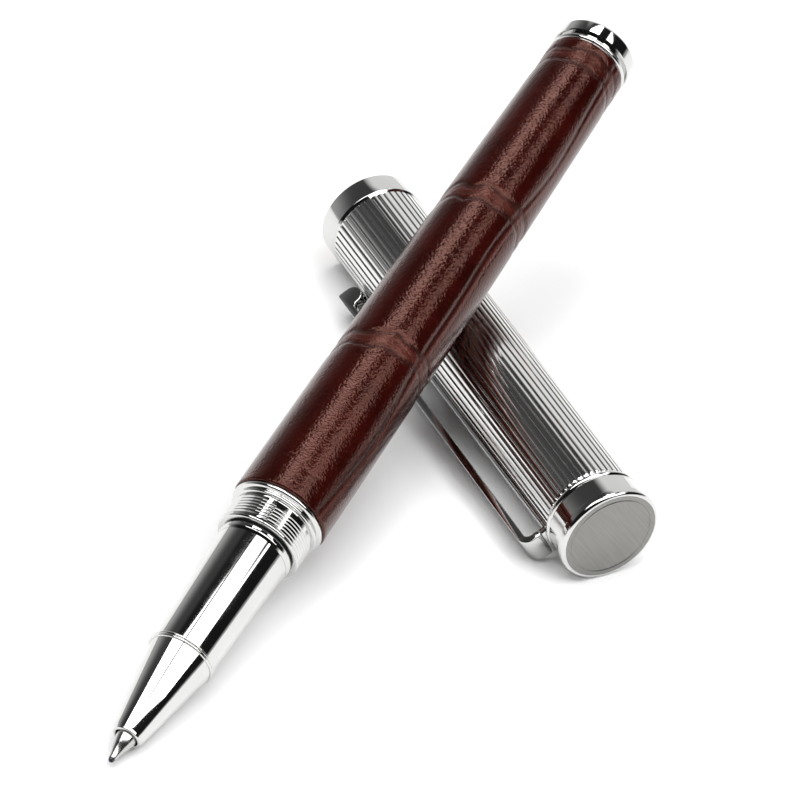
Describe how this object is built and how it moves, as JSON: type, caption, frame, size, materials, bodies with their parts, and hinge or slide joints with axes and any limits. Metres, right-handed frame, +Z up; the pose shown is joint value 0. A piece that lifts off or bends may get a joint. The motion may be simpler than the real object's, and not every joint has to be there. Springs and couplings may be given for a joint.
{
  "type": "rollerball pen",
  "caption": "Leather-covered rollerball pen lying uncapped across its own fluted metal cap, with a screw-in grip section and a sprung pocket clip.",
  "frame": {"origin": "centre of the footprint's box, on the surface that the pen and cap lie on", "axes": "+Z up; +Y along the cap's axis, out of its mouth; +X to the side on which the pen rises over the cap"},
  "size_m": [0.0992, 0.0741, 0.0314],
  "materials": {
    "chrome_plate": "mirror-polished plating",
    "fluted_metal": "polished plating over fine lengthwise flutes",
    "finial_satin": "satin, finely brushed",
    "leather": "glossy dark red-brown leather with fine grain and creases",
    "brass": "turned brass",
    "tip_steel": "turned steel",
    "ball_carbide": "polished tungsten carbide",
    "refill_metal": "drawn steel tube",
    "refill_black": "moulded black plastic",
    "ink_fibre": "ink-soaked fibre",
    "spring_steel": "bright steel wire",
    "seal_rubber": "black rubber",
    "liner_plastic": "moulded dark plastic"
  },
  "bodies": {
    "cap": {"cap_tube": "fluted_metal", "mouth_ring": "chrome_plate", "thread_bush": "brass", "inner_cap": "liner_plastic", "cap_top_plug": "brass", "bead_ring": "chrome_plate", "clip_plate": "chrome_plate", "neck_band": "chrome_plate", "finial_disc": "finial_satin", "finial_screw": "spring_steel"},
    "clip": {"clip": "chrome_plate"},
    "barrel": {"collar_bushing": "chrome_plate", "barrel_tube": "brass", "leather_wrap": "leather", "rear_ring": "chrome_plate", "end_plug": "chrome_plate", "refill_spring": "spring_steel"},
    "seal": {"section_seal": "seal_rubber"},
    "section": {"nose_cone": "chrome_plate", "nose_ring": "chrome_plate", "grip_sleeve": "chrome_plate", "grip_ring": "chrome_plate", "section_tenon": "brass"},
    "refill": {"refill_tip": "tip_steel", "refill_holder": "refill_black", "ink_feed": "ink_fibre", "ink_reservoir": "ink_fibre", "refill_tube": "refill_metal", "refill_end_plug": "refill_black"},
    "ball": {"writing_ball": "ball_carbide"}
  },
  "joints": [
    {"name": "clip_flex", "type": "hinge", "parent": "cap", "child": "clip", "pos_m": [0.01129, -0.02431, 0.00284], "axis": [-0.5178, 0, 0.8555], "range_deg": [0, 3], "stiffness_Nm_per_rad": 0.4},
    {"name": "pen_lift", "type": "slide", "parent": "cap", "child": "barrel", "axis": [0, 0, 1], "range_m": [0, 0.08]},
    {"name": "section_unscrew", "type": "hinge", "parent": "barrel", "child": "seal", "pos_m": [-0.02327, -0.01782, 0.00792], "axis": [-0.7912, -0.5748, -0.2089], "range_deg": [0, 4320]},
    {"name": "section_advance", "type": "slide", "parent": "seal", "child": "section", "axis": [-0.7912, -0.5748, -0.2089], "range_m": [0, 0.009]},
    {"name": "refill_float", "type": "slide", "parent": "section", "child": "refill", "axis": [0.7912, 0.5748, 0.2089], "range_m": [0, 0.001], "stiffness_N_per_m": 300, "springref_m": -0.002, "deforming": ["refill_spring"]},
    {"name": "ball_roll", "type": "hinge", "parent": "refill", "child": "ball", "pos_m": [-0.04926, -0.03671, 0.00106], "axis": [0.5878, -0.809, 0], "continuous": true}
  ],
  "couplings": [
    {"joint": "section_advance", "follows": "section_unscrew", "m_per_rad": 0.00011937}
  ]
}
